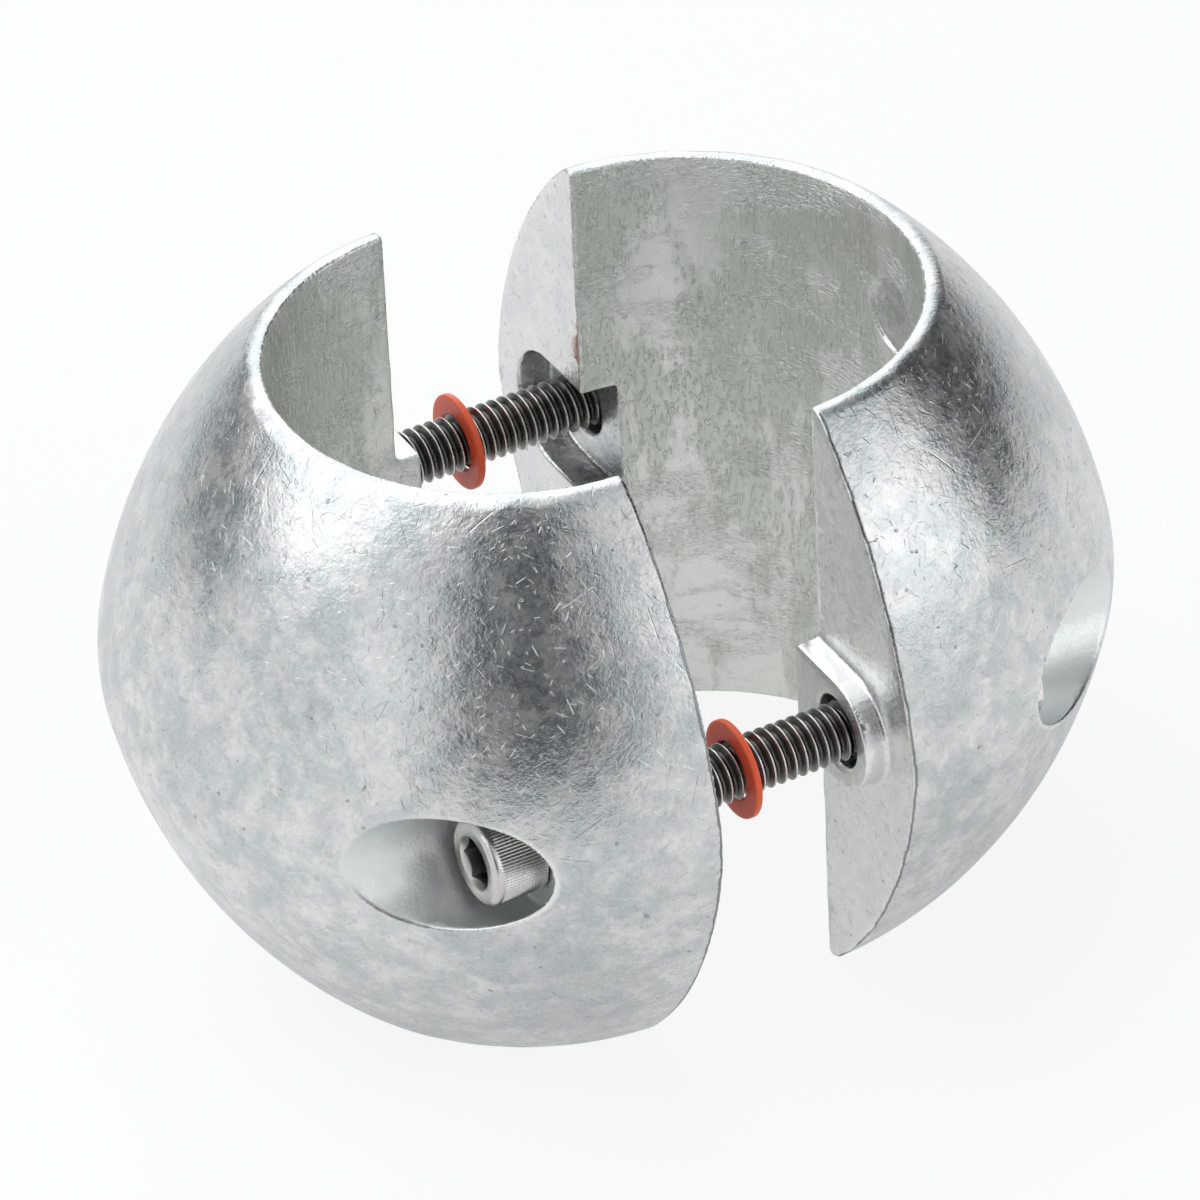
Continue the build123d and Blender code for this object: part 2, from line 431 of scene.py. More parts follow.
half_turn = Matrix.Rotation(math.pi, 4, "Z")
screw_half = cast_piece("screw_half_ball", lambda p: cast_skin(p, 11, False, False),
                        Matrix.Translation((-bore_shift * mm, 0, 0)) @ half_turn)
nut_half = cast_piece("nut_half_ball", lambda p: cast_skin(p, 47, True, True),
                      Matrix.Translation((bore_shift * mm, 0, 0)))


def effect(name, **numbers):
    """New shader node group that makes a mask from a place and the given numbers; returns
    the tree and its two end nodes."""
    tree = bpy.data.node_groups.new(name, "ShaderNodeTree")
    tree.interface.new_socket("Place", in_out="INPUT", socket_type="NodeSocketVector")
    for key, value in numbers.items():
        socket = tree.interface.new_socket(key, in_out="INPUT", socket_type="NodeSocketFloat")
        socket.default_value = value
    tree.interface.new_socket("Mask", in_out="OUTPUT", socket_type="NodeSocketFloat")
    return tree, node(tree, "NodeGroupInput", (-900, 0)), node(tree, "NodeGroupOutput", (900, 0))


def placed(tree, group, place, **values):
    """A group's node with its values set; underscores in the names stand for spaces."""
    made = node(tree, "ShaderNodeGroup", place, node_tree=group)
    for key, value in values.items():
        made.inputs[key.replace("_", " ")].default_value = value
    return made


def math_node(tree, operation, first, second=None, place=(0, 0)):
    """Math node fed by sockets, nodes or plain numbers."""
    made = node(tree, "ShaderNodeMath", place, operation=operation)
    for socket, source in zip(made.inputs, (first, second)):
        if isinstance(source, (int, float)):
            socket.default_value = source
        elif source is not None:
            wire(tree, source, socket)
    return made


def mix_colour(tree, share, first, second, place=(0, 0)):
    """Colour mix; each colour is a socket, a node or a plain (r, g, b)."""
    made = node(tree, "ShaderNodeMix", place, data_type="RGBA")
    sockets = (made.inputs["Factor"], made.inputs[6], made.inputs[7])
    for socket, source in zip(sockets, (share, first, second)):
        if isinstance(source, (int, float)):
            socket.default_value = source
        elif isinstance(source, tuple):
            socket.default_value = (*source, 1)
        else:
            wire(tree, source, socket)
    return made.outputs[2]


# Patches: soft-edged blotches of tarnish, mould wash or wear, of a given size in millimetres.
patches, ends_in, ends_out = effect("patches", Size=5.0, Detail=4.0, From=0.4, To=0.6)
rate = math_node(patches, "DIVIDE", 1.0, ends_in.outputs["Size"], (-600, -200))
cloud = node(patches, "ShaderNodeTexNoise", (-300, 0), Roughness=0.62)
spread = node(patches, "ShaderNodeMapRange", (100, 0), interpolation_type="SMOOTHSTEP")
wire(patches, ends_in.outputs["Place"], cloud.inputs["Vector"])
wire(patches, rate, cloud.inputs["Scale"])
wire(patches, ends_in.outputs["Detail"], cloud.inputs["Detail"])
wire(patches, cloud.outputs["Fac"], spread.inputs["Value"])
wire(patches, ends_in.outputs["From"], spread.inputs["From Min"])
wire(patches, ends_in.outputs["To"], spread.inputs["From Max"])
wire(patches, spread, ends_out.inputs["Mask"])

# Scratches: short straight lines that lie every way, one at most in each cell of the spacing.
scratches, ends_in, ends_out = effect("scratches", Spacing=3.0, Width=0.08, Amount=0.7)
shrink = node(scratches, "ShaderNodeVectorMath", (-700, 100), operation="SCALE")
wire(scratches, ends_in.outputs["Place"], shrink.inputs[0])
wire(scratches, math_node(scratches, "DIVIDE", 1.0, ends_in.outputs["Spacing"], (-850, -100)),
     shrink.inputs["Scale"])
cells = node(scratches, "ShaderNodeTexVoronoi", (-500, 100), Scale=1.0)
wire(scratches, shrink, cells.inputs["Vector"])
local = node(scratches, "ShaderNodeVectorMath", (-250, 200), operation="SUBTRACT")
wire(scratches, shrink, local.inputs[0])
wire(scratches, cells.outputs["Position"], local.inputs[1])
lean = node(scratches, "ShaderNodeVectorMath", (-250, 0), operation="SUBTRACT")
lean.inputs[1].default_value = (0.5, 0.5, 0.5)
wire(scratches, cells.outputs["Color"], lean.inputs[0])
lean_unit = node(scratches, "ShaderNodeVectorMath", (-50, 0), operation="NORMALIZE")
wire(scratches, lean, lean_unit)
across = node(scratches, "ShaderNodeVectorMath", (150, 100), operation="DOT_PRODUCT")
wire(scratches, local, across.inputs[0])
wire(scratches, lean_unit, across.inputs[1])
off_line = math_node(scratches, "ABSOLUTE", across.outputs["Value"], None, (300, 100))
gap = math_node(scratches, "MULTIPLY", off_line, ends_in.outputs["Spacing"], (450, 100))
line = node(scratches, "ShaderNodeMapRange", (600, 100), interpolation_type="SMOOTHSTEP",
            To_Min=1.0, To_Max=0.0)
wire(scratches, gap, line.inputs["Value"])
wire(scratches, ends_in.outputs["Width"], line.inputs["From Max"])
length = node(scratches, "ShaderNodeVectorMath", (150, -150), operation="LENGTH")
wire(scratches, local, length)
fade = node(scratches, "ShaderNodeMapRange", (350, -150), interpolation_type="SMOOTHSTEP",
            From_Min=0.2, From_Max=0.5, To_Min=1.0, To_Max=0.0)
wire(scratches, length.outputs["Value"], fade.inputs["Value"])
pick = node(scratches, "ShaderNodeSeparateColor", (-250, -250))
wire(scratches, cells.outputs["Color"], pick)
kept = math_node(scratches, "LESS_THAN", pick.outputs["Blue"], ends_in.outputs["Amount"], (0, -300))
short_line = math_node(scratches, "MULTIPLY", line, fade, (600, -50))
wire(scratches, math_node(scratches, "MULTIPLY", short_line, kept, (750, -100)),
     ends_out.inputs["Mask"])


def millimetres(tree, shift=(0, 0, 0), stretch=(1, 1, 1), place=(-1500, 0)):
    """Place on the object in millimetres, shifted and stretched."""
    where = node(tree, "ShaderNodeTexCoord", place)
    scaled = node(tree, "ShaderNodeMapping", (place[0] + 200, place[1]))
    scaled.inputs["Location"].default_value = shift
    scaled.inputs["Scale"].default_value = [1000 * k for k in stretch]
    wire(tree, where.outputs["Object"], scaled)
    return scaled


# Creases: thin bent lines, broken into short runs, such as wrinkles in a cast skin or the
# edges of dents.
creases, ends_in, ends_out = effect("creases", Size=3.0, Width=0.04, Run=1.5)
bent = node(creases, "ShaderNodeTexNoise", (-300, 0), Detail=1.0, Roughness=0.5, Distortion=0.6)
wire(creases, ends_in.outputs["Place"], bent.inputs["Vector"])
wire(creases, math_node(creases, "DIVIDE", 1.0, ends_in.outputs["Size"], (-600, -200)),
     bent.inputs["Scale"])
from_mean = math_node(creases, "SUBTRACT", bent.outputs["Fac"], 0.5, (-100, 0))
off = math_node(creases, "ABSOLUTE", from_mean, None, (50, 0))
thin = node(creases, "ShaderNodeMapRange", (250, 0), interpolation_type="SMOOTHSTEP",
            To_Min=1.0, To_Max=0.0)
wire(creases, off, thin.inputs["Value"])
wire(creases, ends_in.outputs["Width"], thin.inputs["From Max"])
runs = node(creases, "ShaderNodeTexNoise", (-300, -300), Detail=0.0)
wire(creases, ends_in.outputs["Place"], runs.inputs["Vector"])
wire(creases, math_node(creases, "DIVIDE", 1.0, ends_in.outputs["Run"], (-600, -400)),
     runs.inputs["Scale"])
kept = node(creases, "ShaderNodeMapRange", (50, -300), interpolation_type="SMOOTHSTEP",
            From_Min=0.46, From_Max=0.60)
wire(creases, runs.outputs["Fac"], kept.inputs["Value"])
wire(creases, math_node(creases, "MULTIPLY", thin, kept, (450, 0)), ends_out.inputs["Mask"])


def layered(tree, colour, layers, place=(-300, 300)):
    """Colour with tints laid over it in turn; each layer is (mask, strength, tint)."""
    for row, (mask, strength, tint) in enumerate(layers):
        share = math_node(tree, "MULTIPLY", mask, strength, (place[0] + 100 * row, place[1] + 150))
        colour = mix_colour(tree, share, colour, tint, (place[0] + 100 * row, place[1]))
    return colour


def summed(tree, start, terms, place=(-300, -600)):
    """Plain number plus masks times their weights."""
    total = start
    for row, (mask, weight) in enumerate(terms):
        part = math_node(tree, "MULTIPLY", mask, weight, (place[0] + 100 * row, place[1] - 150))
        first, second = (total, part) if row else (part, start)
        total = math_node(tree, "ADD", first, second, (place[0] + 100 * row, place[1]))
    return total


def zinc_material(name, shift):
    """Raw zinc as cast and handled: mottled, wrinkled, finely dented and scratched, bright where
    edges are worn and where a highlight is painted along them, duller and greener in the bore where
    the mould wash stays on."""
    made, tree, out = bare_material(name)
    where = millimetres(tree, shift)
    drawn = millimetres(tree, shift, (1, 1, 0.35), (-1500, 200))
    laid = millimetres(tree, shift, (0.8, 0.8, 2.2), (-1500, 350))
    edge, bore, pocket, split, boss_side, boss_face_shade, outer = (
        node(tree, "ShaderNodeAttribute", (-1500, -300 - 180 * row),
             attribute_name=mask_name).outputs["Fac"]
        for row, mask_name in enumerate(("edge_wear_and_highlight", "bore_wall", "pocket_wall", "split_face",
                                         "boss_side", "boss_face_shade", "outer_skin")))

    def mark(group, place, at=where, **values):
        made_mark = placed(tree, group, place, **values)
        wire(tree, at, made_mark.inputs["Place"])
        return made_mark

    tarnish = mark(patches, (-1000, 500), Size=16.0, Detail=5.0, From=0.42, To=0.62)
    warm = mark(patches, (-1000, 400), Size=2.6, Detail=6.0, From=0.43, To=0.60)
    cloudy = mark(patches, (-1000, 300), Size=4.0, Detail=8.0, From=0.40, To=0.61)
    lumps = mark(patches, (-1000, 200), Size=2.6, Detail=1.0, From=0.25, To=0.75)
    grainy = mark(patches, (-1000, 100), Size=0.8, Detail=4.0, From=0.34, To=0.66)
    specks = mark(patches, (-1000, -100), Size=0.36, Detail=1.0, From=0.30, To=0.70)
    pits = mark(patches, (-1000, -300), Size=0.9, Detail=0.0, From=0.82, To=0.86)
    tiny = mark(scratches, (-1000, -400), Spacing=0.95, Width=0.055, Amount=0.45)
    fine = mark(scratches, (-1000, -500), Spacing=1.9, Width=0.07, Amount=0.5)
    long = mark(scratches, (-1000, -700), Spacing=5.2, Width=0.09, Amount=0.5)
    wrinkles = mark(creases, (-1000, -900), Size=2.6, Width=0.035, Run=1.6)
    flow = mark(patches, (-1000, -1100), laid, Size=0.65, Detail=2.0, From=0.52, To=0.66)
    hollow_shade = mark(patches, (-1000, -1150), laid, Size=0.65, Detail=2.0, From=0.48, To=0.34)
    dragged = mark(patches, (-1000, -1200), drawn, Size=0.5, Detail=3.0, From=0.50, To=0.68)
    flow_bands = mark(patches, (-1000, -1300), laid, Size=13.0, Detail=4.0, From=0.46, To=0.58)
    wash = mark(patches, (-1000, -1500), drawn, Size=8.0, Detail=7.0, From=0.46, To=0.55)
    rough_skin = summed(tree, 1.0, ((pocket, -0.95), (boss_side, -0.4), (bore, -0.5)),
                        (-800, -1300))
    nicks = math_node(tree, "MAXIMUM", fine, long, (-850, -600))
    nicks = math_node(tree, "MAXIMUM", nicks, tiny, (-750, -600))
    marks = math_node(tree, "MULTIPLY", nicks, rough_skin, (-500, -600))
    flow_ridges = math_node(tree, "MULTIPLY", flow, flow_bands, (-900, -1100))
    drag_ridges = math_node(tree, "MULTIPLY", dragged, wash, (-900, -1200))
    ridges = math_node(tree, "MAXIMUM", flow_ridges, drag_ridges, (-800, -1100))
    # Ridges in the bore: raised in the relief and painted bright as glints
    bore_ridges_and_glints = math_node(tree, "MULTIPLY", ridges, bore, (-700, -1100))
    # Dips between the ridges: sunk in the relief and painted dark as shade
    banded = math_node(tree, "MULTIPLY", hollow_shade, flow_bands, (-800, -1150))
    bore_shaded_hollows = math_node(tree, "MULTIPLY", banded, bore, (-700, -1150))
    bore_wash = math_node(tree, "MULTIPLY", wash, bore, (-700, -1200))
    skin_wrinkles = math_node(tree, "MULTIPLY", wrinkles, rough_skin, (-700, -900))
    skin_grain = math_node(tree, "MULTIPLY", grainy, rough_skin, (-700, -1000))
    skin_pits = math_node(tree, "MULTIPLY", pits, rough_skin, (-700, -800))
    unevenly = summed(tree, 0.6, ((cloudy, 0.4),), (-850, -1600))
    # Bright edges: partly wear, partly painted highlight
    rubbed_and_highlit = math_node(tree, "MULTIPLY", edge, unevenly, (-600, -1500))

    # A thin groove wanders along the outer edge of the split face, painted dark as shade along the
    # edge
    groove_inset, groove_wander = 0.22, 0.16
    along = node(tree, "ShaderNodeSeparateXYZ", (-1200, -1700))
    wire(tree, millimetres(tree, (0, 0, 0), (1, 1, 1), (-1500, -1700)), along)
    from_middle = math_node(tree, "ABSOLUTE", along.outputs["X"], None, (-1100, -1700))
    from_groove_line = summed(tree, -bore_shift - split_x - groove_inset,
                       ((from_middle, 1.0), (cloudy, -groove_wander)), (-1000, -1700))
    from_groove_line = math_node(tree, "ABSOLUTE", from_groove_line, None, (-700, -1700))
    groove_shade_line = node(tree, "ShaderNodeMapRange", (-500, -1700), interpolation_type="SMOOTHSTEP",
                From_Min=0.08, From_Max=0.20, To_Min=1.0, To_Max=0.0)
    wire(tree, from_groove_line, groove_shade_line.inputs["Value"])
    groove_shade_line = math_node(tree, "MULTIPLY", groove_shade_line, outer, (-350, -1700))

    # The bore is darker and a little greener towards the top
    upper = node(tree, "ShaderNodeMapRange", (-700, -1900), interpolation_type="SMOOTHSTEP",
                 From_Min=30.0, From_Max=68.0)
    wire(tree, along.outputs["Z"], upper.inputs["Value"])
    bore_darker_upward = math_node(tree, "MULTIPLY", upper, bore, (-500, -1900))

    colour = layered(tree, (0.83, 0.83, 0.815), (
        (grainy, 0.46, (0.59, 0.605, 0.605)), (warm, 0.42, (0.595, 0.56, 0.60)),
        (cloudy, 0.46, (0.41, 0.48, 0.495)), (tarnish, 0.38, (0.39, 0.435, 0.455)),
        (bore, 0.82, (0.98, 0.99, 0.95)), (bore_wash, 0.60, (0.54, 0.59, 0.53)),
        (bore_darker_upward, 0.34, (0.55, 0.59, 0.56)), (pocket, 0.85, (0.86, 0.88, 0.88)),
        (split, 0.55, (0.88, 0.885, 0.875)), (boss_side, 0.60, (0.86, 0.87, 0.865)),
        # The boss face is painted darker, as painted shade
        (boss_face_shade, 0.75, (0.50, 0.51, 0.50)), (bore_ridges_and_glints, 0.55, (0.97, 0.97, 0.94)),
        (bore_shaded_hollows, 0.50, (0.48, 0.52, 0.47)), (specks, 0.18, (0.88, 0.89, 0.88)),
        (skin_wrinkles, 0.30, (0.34, 0.36, 0.37)), (marks, 0.16, (0.93, 0.94, 0.93)),
        (skin_pits, 0.6, (0.25, 0.26, 0.26)), (rubbed_and_highlit, 0.8, (0.93, 0.935, 0.93)),
        (groove_shade_line, 0.8, (0.16, 0.17, 0.17))))
    # The dark patches are the smoother ones, so they mottle most where they mirror a dark wall
    rough = summed(tree, 0.315, ((grainy, -0.04), (bore, 0.04), (cloudy, -0.055), (rubbed_and_highlit, -0.04),
                                 (boss_side, 0.03), (pocket, 0.12)))
    metallic = summed(tree, 0.855, ((cloudy, 0.04), (grainy, 0.05), (bore, -0.12),
                                    (tarnish, -0.06)), (300, -300))
    # Heights of the relief, in tenths of a millimetre
    relief = summed(tree, 0.0, (
        (skin_grain, 0.15), (specks, 0.08), (lumps, 0.18), (cloudy, 0.05), (marks, -0.24),
        (skin_wrinkles, -0.10), (bore_ridges_and_glints, 1.0), (bore_shaded_hollows, -0.7), (skin_pits, -0.7),
        (groove_shade_line, -0.8)), (-300, -1000))
    bump = node(tree, "ShaderNodeBump", (500, -900), Strength=1.0, Distance=0.0001)
    wire(tree, relief, bump.inputs["Height"])
    shader = node(tree, "ShaderNodeBsdfPrincipled", (700, 0))
    wire(tree, metallic, shader.inputs["Metallic"])
    wire(tree, colour, shader.inputs["Base Color"])
    wire(tree, rough, shader.inputs["Roughness"])
    wire(tree, bump, shader.inputs["Normal"])
    wire(tree, shader, out)
    return made


screw_half.data.materials.append(zinc_material("cast_zinc_screw_half", (3.0, 8.0, 1.0)))
nut_half.data.materials.append(zinc_material("cast_zinc_nut_half", (141.0, 57.0, 23.0)))
for piece, body, cad_node in ((screw_half, "screw_half", "screw_half_casting"),
                              (nut_half, "nut_half", "nut_half_casting")):
    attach(piece, body)
    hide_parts(cad_node)

# Cap screws
# Quarter inch socket head screws in stainless steel, with a cold rolled coarse thread,
# a turned head that is knurled for the fingers, and a broached hexagon for the key.
# Each mesh lies along +X from the bearing face under its head.
screw_length = 44.4536
thread_radius = 3.175
thread_pitch = 1.27
thread_root = 2.50
thread_start = 2.2
tip_chamfer = 0.9
head_radius = 4.7625
head_height = 6.35
knurl_ridges = 84
knurl_depth = 0.14
socket_flats = 4.76
socket_depth = 3.0
socket_mouth = 2.99
thread_shape = ((-0.10, 0.10), (-0.065, 0.02), (-0.035, 0), (0.035, 0), (0.065, 0.02), (0.10, 0.10),
                (0.30, 0.78), (0.36, 0.93), (0.44, 1), (0.56, 1), (0.64, 0.93), (0.70, 0.78))


def skin_over(rings, closed=True):
    """Quads that join rings of corner numbers, one after the other."""
    rings = np.asarray(rings)
    ahead = np.roll(rings, -1, axis=1) if closed else rings[:, 1:]
    here = rings if closed else rings[:, :-1]
    return np.stack([here[:-1], here[1:], ahead[1:], ahead[:-1]], axis=-1).reshape(-1, 4)


def lathe(profile, steps):
    """Points and quads of a turned shape along X. Each profile entry is (x, radius), and either
    may be an array with a value for each step round the axis."""
    angle = np.arange(steps) * 2 * math.pi / steps
    rows = [np.stack([x + 0 * angle, radius * np.cos(angle), radius * np.sin(angle)], axis=1)
            for x, radius in profile]
    return np.concatenate(rows), skin_over(np.arange(len(rows) * steps).reshape(-1, steps))


def hexagon(flats, steps, start=0.0):
    """Radius of a hexagon at each step round it, its first flat facing the start angle."""
    angle = np.arange(steps) * 2 * math.pi / steps - start
    return flats / 2 / np.cos((angle + math.pi / 6) % (math.pi / 3) - math.pi / 6)


def thread(start, end, crest, root, depth_at, steps=60):
    """Points and quads of a helical thread along X; depth_at gives its share of full depth."""
    turns = int((end - start) / thread_pitch) + 3
    angle = np.arange(turns * steps + 1) * 2 * math.pi / steps
    rows = []
    for along, share in thread_shape:
        x = start + thread_pitch * (angle / (2 * math.pi) - 1 + along)
        x = np.clip(x, start, end)
        radius = crest + (root - crest) * share * depth_at(x)
        rows.append(np.stack([x, radius * np.cos(angle), radius * np.sin(angle)], axis=1))
    points = np.stack(rows, axis=1)
    index = np.arange(points.shape[0] * points.shape[1]).reshape(points.shape[:2])
    next_turn = index[steps:, :1]
    across = np.concatenate([index[:-steps], next_turn], axis=1)
    return points.reshape(-1, 3), skin_over(across.T, closed=False)


def metal_piece(name, shapes, place, mask_name, mask, crease=30):
    """Object from several (points, quads) shapes in millimetres, welded, with its sharp edges kept
    and a mask over its points for the material."""
    net = bmesh.new()
    for points, faces in shapes:
        corners = [net.verts.new(point) for point in points]
        net.verts.index_update()
        for face in faces:
            net.faces.new([corners[k] for k in face])
    bmesh.ops.remove_doubles(net, verts=net.verts, dist=0.002)
    bmesh.ops.dissolve_degenerate(net, edges=net.edges, dist=0.001)
    bmesh.ops.holes_fill(net, edges=[e for e in net.edges if e.is_boundary], sides=0)
    bmesh.ops.recalc_face_normals(net, faces=net.faces)
    mesh = bpy.data.meshes.new(name)
    net.to_mesh(mesh)
    net.free()
    mask_layer = mesh.attributes.new(mask_name, "FLOAT", "POINT")
    mask_layer.data.foreach_set("value", mask(points_of(mesh)))
    mesh.shade_smooth()
    mesh.set_sharp_from_angle(angle=math.radians(crease))
    mesh.transform(place @ Matrix.Scale(mm, 4))
    piece = bpy.data.objects.new(name, mesh)
    bpy.context.scene.collection.objects.link(piece)
    return piece


def screw_thread_depth(x):
    """Full depth along the screw, running out under the head and at the chamfered tip."""
    return np.clip((x - thread_start) / thread_pitch, 0, 1)


def screw_shapes():
    """The thread with its chamfered tip, and the knurled head with its socket."""
    points, quads = thread(0, screw_length, thread_radius, thread_root, screw_thread_depth)
    tip = thread_radius - np.clip(points[:, 0] - (screw_length - tip_chamfer), 0, tip_chamfer)
    size = np.hypot(points[:, 1], points[:, 2])
    points[:, 1:] *= np.minimum(1, tip / size)[:, None]
    steps = knurl_ridges * 6
    ridges = 0.5 - 0.5 * np.cos(np.arange(steps) * 2 * math.pi * knurl_ridges / steps)
    key = hexagon(socket_flats, steps)
    face = -head_height
    knurled = head_radius - knurl_depth * ridges
    profile = [(face + socket_depth + 0.7, 0.02), (face + socket_depth + 0.1, key - 0.12),
               (face + socket_depth, key - 0.02), (face + socket_mouth - key + 0.05, key),
               (face + socket_mouth - key, key + 0.02), (face + 0.03, socket_mouth - 0.03),
               (face, socket_mouth + 0.04), (face, head_radius - 0.62),
               (face + 0.02, head_radius - 0.52), (face + 0.36, head_radius - 0.10),
               (face + 0.5, head_radius - 0.02), (face + 0.62, head_radius),
               (face + 0.95, head_radius), (face + 1.05, head_radius - 0.35 * knurl_depth * ridges),
               (face + 1.2, knurled), (-0.55, knurled),
               (-0.4, head_radius - 0.4 * knurl_depth * ridges), (-0.3, head_radius - 0.02),
               (-0.06, head_radius - 0.25), (0, head_radius - 0.4), (0, thread_radius + 0.1),
               (0.2, thread_radius - 0.6)]
    return [(points, quads), lathe(profile, steps)]


def screw_hollow_shade(points):
    """Mask of painted shade: the thread grooves, the socket and the knurl's grooves are painted
    dark.
    """
    radius = np.hypot(points[:, 1], points[:, 2])
    groove = np.clip((thread_radius - 0.010 - radius) / 0.07, 0, 1)
    socket = np.clip((points[:, 0] + head_height - 0.12) / 0.7, 0, 1) * (radius < socket_mouth)
    knurl = 0.45 * np.clip((head_radius - 0.02 - radius) / knurl_depth, 0, 1)
    knurl *= points[:, 0] > 1.1 - head_height
    head = np.where(radius < socket_mouth + 0.1, socket, knurl)
    return np.where(points[:, 0] > 0.01, groove, head)


steel, tree, out = bare_material("stainless_steel")
where = millimetres(tree)
turned_way = millimetres(tree, (0, 0, 0), (5.0, 0.5, 0.5), (-1500, -300))
hollow_shade = node(tree, "ShaderNodeAttribute", (-1500, 300), attribute_name="hollow_shade").outputs["Fac"]
smudges = placed(tree, patches, (-1000, 200), Size=2.2, Detail=4.0, From=0.42, To=0.60)
turning = placed(tree, patches, (-1000, 0), Size=1.0, Detail=4.0, From=0.35, To=0.65)
nicks = placed(tree, scratches, (-1000, -200), Spacing=0.9, Width=0.04, Amount=0.5)
wire(tree, where, smudges.inputs["Place"])
wire(tree, turned_way, turning.inputs["Place"])
wire(tree, where, nicks.inputs["Place"])
# The grooves and the socket are painted nearly black, as painted shade
colour = layered(tree, (0.67, 0.66, 0.64), (
    (smudges, 0.30, (0.56, 0.55, 0.53)), (turning, 0.20, (0.52, 0.51, 0.49)),
    (nicks, 0.35, (0.84, 0.83, 0.81)), (hollow_shade, 0.96, (0.080, 0.077, 0.073))))
rough = summed(tree, 0.19, ((smudges, 0.08), (turning, 0.06), (hollow_shade, 0.02)))
bump = node(tree, "ShaderNodeBump", (300, -500), Strength=1.0, Distance=0.000012)
relief = summed(tree, 0.0, ((turning, 0.6), (smudges, 0.4), (nicks, -1.0)), (-300, -900))
wire(tree, relief, bump.inputs["Height"])
shader = node(tree, "ShaderNodeBsdfPrincipled", (600, 0), Metallic=1.0)
wire(tree, colour, shader.inputs["Base Color"])
wire(tree, rough, shader.inputs["Roughness"])
wire(tree, bump, shader.inputs["Normal"])
wire(tree, shader, out)
seat_x = -bore_shift - pocket_floor_x
for place_name, side, spin in (("front", -1, 25), ("rear", 1, 70)):
    seat = Matrix.Translation((seat_x * mm, side * screw_y * mm, mid_height * mm))
    place = seat @ Matrix.Rotation(math.radians(spin), 4, "X")
    screw = metal_piece(place_name + "_socket_screw", screw_shapes(), place, "hollow_shade",
                        screw_hollow_shade)
    screw.data.materials.append(steel)
    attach(screw, place_name + "_screw")
    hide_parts(place_name + "_cap_screw")


# Nuts
# Plain stainless nuts, chamfered on both faces and pressed by hand into hexagonal seats
# at the bottom of the pockets of one casting, where they can't turn.
nut_flats = 11.11
nut_thickness = 5.56
nut_face_radius = 5.3
nut_bore = 3.225
nut_thread_depth = 0.35
nut_chamfer = 30               # degrees


def nut_shapes(steps=120):
    """The chamfered hexagon and the thread inside it."""
    flats = hexagon(nut_flats, steps, math.pi / 2)
    slope_in = (flats - nut_face_radius) * math.tan(math.radians(nut_chamfer))
    root = nut_bore + nut_thread_depth
    outside = lathe([(0, root), (0, nut_face_radius), (slope_in, flats),
                     (nut_thickness - slope_in, flats), (nut_thickness, nut_face_radius),
                     (nut_thickness, root)], steps)
    inside = thread(0, nut_thickness, nut_bore, root, np.ones_like, steps)
    return [outside, inside]


def nut_hollow_shade(points):
    """Mask of painted shade in the nut's thread grooves."""
    radius = np.hypot(points[:, 1], points[:, 2])
    between_faces = (points[:, 0] > 0.02) & (points[:, 0] < nut_thickness - 0.02)
    inside = between_faces & (radius < nut_bore + nut_thread_depth + 0.05)
    return np.clip((radius - nut_bore) / 0.2, 0.3, 1) * inside


nut_x = bore_shift + seat_floor_x
for place_name, side in (("front", -1), ("rear", 1)):
    place = Matrix.Translation((nut_x * mm, side * screw_y * mm, mid_height * mm))
    nut = metal_piece(place_name + "_plain_nut", nut_shapes(), place, "hollow_shade", nut_hollow_shade)
    nut.data.materials.append(steel)
    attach(nut, "nut_half")
    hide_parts(place_name + "_hex_nut")


# Retaining washers
# Thin soft plastic discs, stamped from red sheet and pushed over the thread, which they
# grip so that the screws stay in their holes while the anode is handled.
washer_radius = 5.4
washer_hole = 3.20
washer_thickness = 1.0
washer_skin = 0.09             # the disc lies this far inside the full thickness on each face
washer_corner = 0.2


def washer_shapes(steps=96):
    """Section through the disc: rounded corners outside, a blunter edge at the hole."""
    low, high = washer_skin, washer_thickness - washer_skin
    angle = np.arange(steps) * 2 * math.pi / steps
    wobble = 0.012 * np.sin(2 * angle + 0.7) + 0.008 * np.sin(3 * angle)
    profile = []
    for x, first, last in ((low + washer_corner, -90, 0), (high - washer_corner, 0, 90)):
        for t in np.radians(np.linspace(first, last, 5)):
            profile.append((x + washer_corner * math.sin(t),
                            washer_radius - 0.03 + washer_corner * (math.cos(t) - 1) + wobble))
    for radius in (washer_radius - 0.9, washer_radius - 1.5, washer_hole + 0.15):
        profile.append((high, radius))
    profile += [(high - 0.1, washer_hole), (low + 0.1, washer_hole)]
    for radius in (washer_hole + 0.15, washer_radius - 1.5, washer_radius - 0.9):
        profile.append((low, radius))
    profile.append(profile[0])
    return [lathe(profile, steps)]


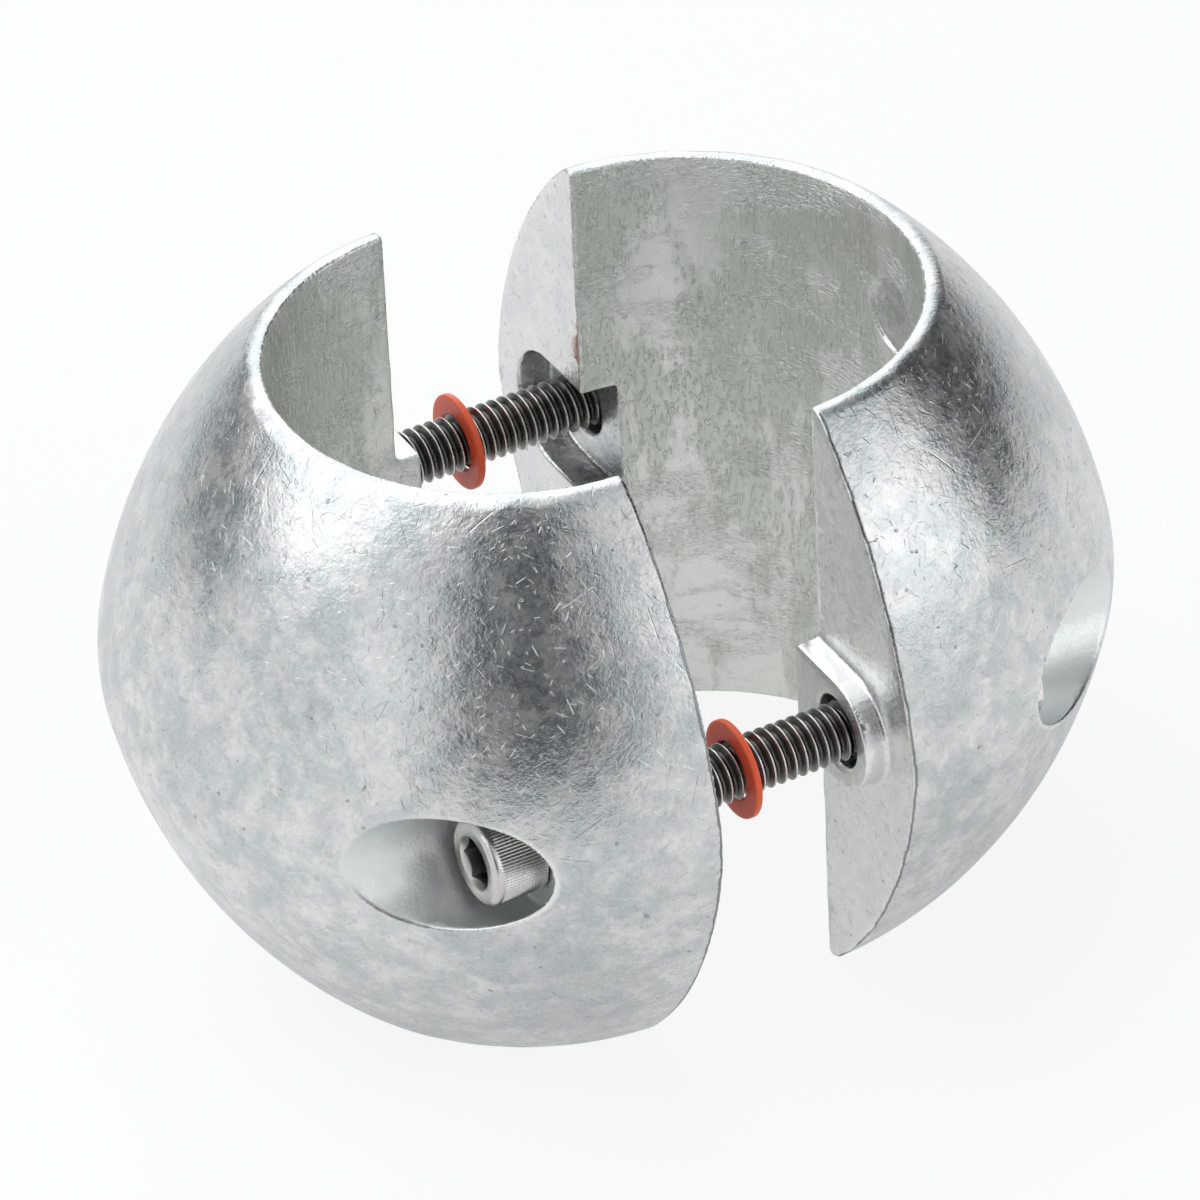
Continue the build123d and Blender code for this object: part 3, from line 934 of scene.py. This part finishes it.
def washer_rim_glow(points):
    """Mask that grows from the hole to the outer edge, where the colour is painted lighter as
    painted light shining through the plastic.
    """
    radius = np.hypot(points[:, 1], points[:, 2])
    return np.clip((radius - washer_hole) / (washer_radius - washer_hole), 0, 1)


red, tree, out = bare_material("red_plastic")
where = millimetres(tree)
rim_glow = node(tree, "ShaderNodeAttribute", (-1500, 300), attribute_name="rim_glow").outputs["Fac"]
uneven_dye = placed(tree, patches, (-1000, 200), Size=3.0, Detail=3.0, From=0.40, To=0.62)
fine_grain = placed(tree, patches, (-1000, 0), Size=0.35, Detail=3.0, From=0.35, To=0.65)
scuffs = placed(tree, scratches, (-1000, -200), Spacing=1.6, Width=0.07, Amount=0.6)
for effect_node in (uneven_dye, fine_grain, scuffs):
    wire(tree, where, effect_node.inputs["Place"])
# Towards the outer edge the red is painted lighter, as painted light shining through
colour = layered(tree, (0.86, 0.075, 0.035), (
    (rim_glow, 0.80, (0.97, 0.17, 0.07)), (uneven_dye, 0.30, (0.90, 0.12, 0.05)),
    (fine_grain, 0.12, (0.70, 0.06, 0.02)), (scuffs, 0.30, (0.95, 0.40, 0.30))))
bump = node(tree, "ShaderNodeBump", (300, -500), Strength=1.0, Distance=0.00002)
relief = summed(tree, 0.0, ((fine_grain, 0.5), (uneven_dye, 0.8), (scuffs, -0.8)), (-300, -900))
wire(tree, relief, bump.inputs["Height"])
shader = node(tree, "ShaderNodeBsdfPrincipled", (600, 0), Specular_IOR_Level=0.3,
              Subsurface_Weight=0.35, Subsurface_Scale=0.0012)
shader.inputs["Subsurface Radius"].default_value = (1.0, 0.35, 0.2)
wire(tree, colour, shader.inputs["Base Color"])
rough = summed(tree, 0.29, ((fine_grain, 0.10), (scuffs, 0.12)), (0, -300))
wire(tree, rough, shader.inputs["Roughness"])
wire(tree, bump, shader.inputs["Normal"])
wire(tree, shader, out)
for place_name, side, gap in (("front", -1, 7.0), ("rear", 1, 11.0)):
    place = Matrix.Translation(((gap - bore_shift - split_x) * mm, side * screw_y * mm,
                                mid_height * mm))
    washer = metal_piece(place_name + "_red_washer", washer_shapes(), place, "rim_glow", washer_rim_glow)
    washer.data.materials.append(red)
    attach(washer, place_name + "_washer")
    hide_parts(place_name + "_retaining_washer")
